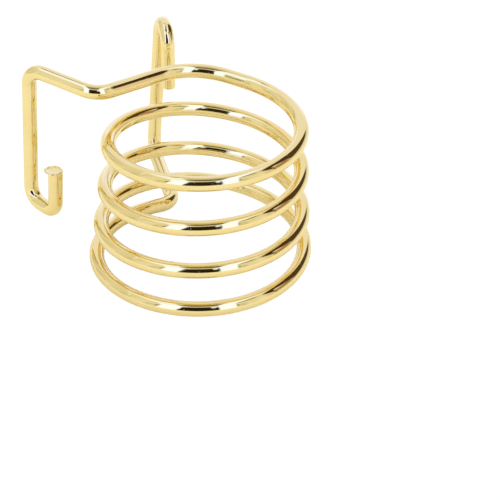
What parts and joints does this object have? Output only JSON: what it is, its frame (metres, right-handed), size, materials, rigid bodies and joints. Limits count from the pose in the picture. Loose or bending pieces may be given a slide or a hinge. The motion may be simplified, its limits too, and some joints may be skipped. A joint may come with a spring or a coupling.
{
  "type": "saxophone ligature",
  "caption": "Spring-wire ligature: an open coil of round gold-plated wire that clamps a reed to a mouthpiece, with two folded finger levers that open it when squeezed.",
  "frame": {"origin": "on the axis of the coil, level with the underside of its lowest turn, at the mouthpiece's shank end", "axes": "+Z along the coil's axis from the mouthpiece's shank end to its tip end, +Y towards the finger levers, +X to the right seen from the side away from the levers"},
  "size_m": [0.0404, 0.0461, 0.0246],
  "materials": {
    "gold_plated_wire": "mirror-polished pale gold plate over spring brass wire"
  },
  "bodies": {
    "shank_end": {"coil_turn_1_left": "gold_plated_wire", "shank_lever_elbow": "gold_plated_wire", "shank_lever_riser": "gold_plated_wire", "shank_lever_grip": "gold_plated_wire", "shank_lever_hook": "gold_plated_wire"},
    "half_turn_2": {"coil_turn_1_right": "gold_plated_wire"},
    "half_turn_3": {"coil_turn_2_left": "gold_plated_wire"},
    "half_turn_4": {"coil_turn_2_right": "gold_plated_wire"},
    "half_turn_5": {"coil_turn_3_left": "gold_plated_wire"},
    "half_turn_6": {"coil_turn_3_right": "gold_plated_wire"},
    "half_turn_7": {"coil_turn_4_left": "gold_plated_wire"},
    "tip_end": {"coil_turn_4_right": "gold_plated_wire", "tip_lever_lead": "gold_plated_wire", "tip_lever_riser": "gold_plated_wire", "tip_lever_grip": "gold_plated_wire", "tip_lever_hook": "gold_plated_wire"}
  },
  "joints": [
    {"name": "coil_flex_1", "type": "hinge", "parent": "shank_end", "child": "half_turn_2", "pos_m": [0, -0.01418, 0.0024], "axis": [0, 0, -1], "range_deg": [0, 5], "stiffness_Nm_per_rad": 1.7},
    {"name": "coil_flex_2", "type": "hinge", "parent": "half_turn_2", "child": "half_turn_3", "pos_m": [0, 0.01387, 0.0053], "axis": [0, 0, -1], "range_deg": [0, 5], "stiffness_Nm_per_rad": 1.7},
    {"name": "coil_flex_3", "type": "hinge", "parent": "half_turn_3", "child": "half_turn_4", "pos_m": [0, -0.01357, 0.00795], "axis": [0, 0, -1], "range_deg": [0, 5], "stiffness_Nm_per_rad": 1.7},
    {"name": "coil_flex_4", "type": "hinge", "parent": "half_turn_4", "child": "half_turn_5", "pos_m": [0, 0.01328, 0.01075], "axis": [0, 0, -1], "range_deg": [0, 5], "stiffness_Nm_per_rad": 1.7},
    {"name": "coil_flex_5", "type": "hinge", "parent": "half_turn_5", "child": "half_turn_6", "pos_m": [0, -0.01302, 0.014], "axis": [0, 0, -1], "range_deg": [0, 5], "stiffness_Nm_per_rad": 1.7},
    {"name": "coil_flex_6", "type": "hinge", "parent": "half_turn_6", "child": "half_turn_7", "pos_m": [0, 0.01277, 0.01725], "axis": [0, 0, -1], "range_deg": [0, 5], "stiffness_Nm_per_rad": 1.7},
    {"name": "coil_flex_7", "type": "hinge", "parent": "half_turn_7", "child": "tip_end", "pos_m": [0, -0.01256, 0.0202], "axis": [0, 0, -1], "range_deg": [0, 5], "stiffness_Nm_per_rad": 1.7}
  ],
  "couplings": [
    {"joint": "coil_flex_2", "follows": "coil_flex_1", "ratio": 1},
    {"joint": "coil_flex_3", "follows": "coil_flex_1", "ratio": 1},
    {"joint": "coil_flex_4", "follows": "coil_flex_1", "ratio": 1},
    {"joint": "coil_flex_5", "follows": "coil_flex_1", "ratio": 1},
    {"joint": "coil_flex_6", "follows": "coil_flex_1", "ratio": 1},
    {"joint": "coil_flex_7", "follows": "coil_flex_1", "ratio": 1}
  ]
}
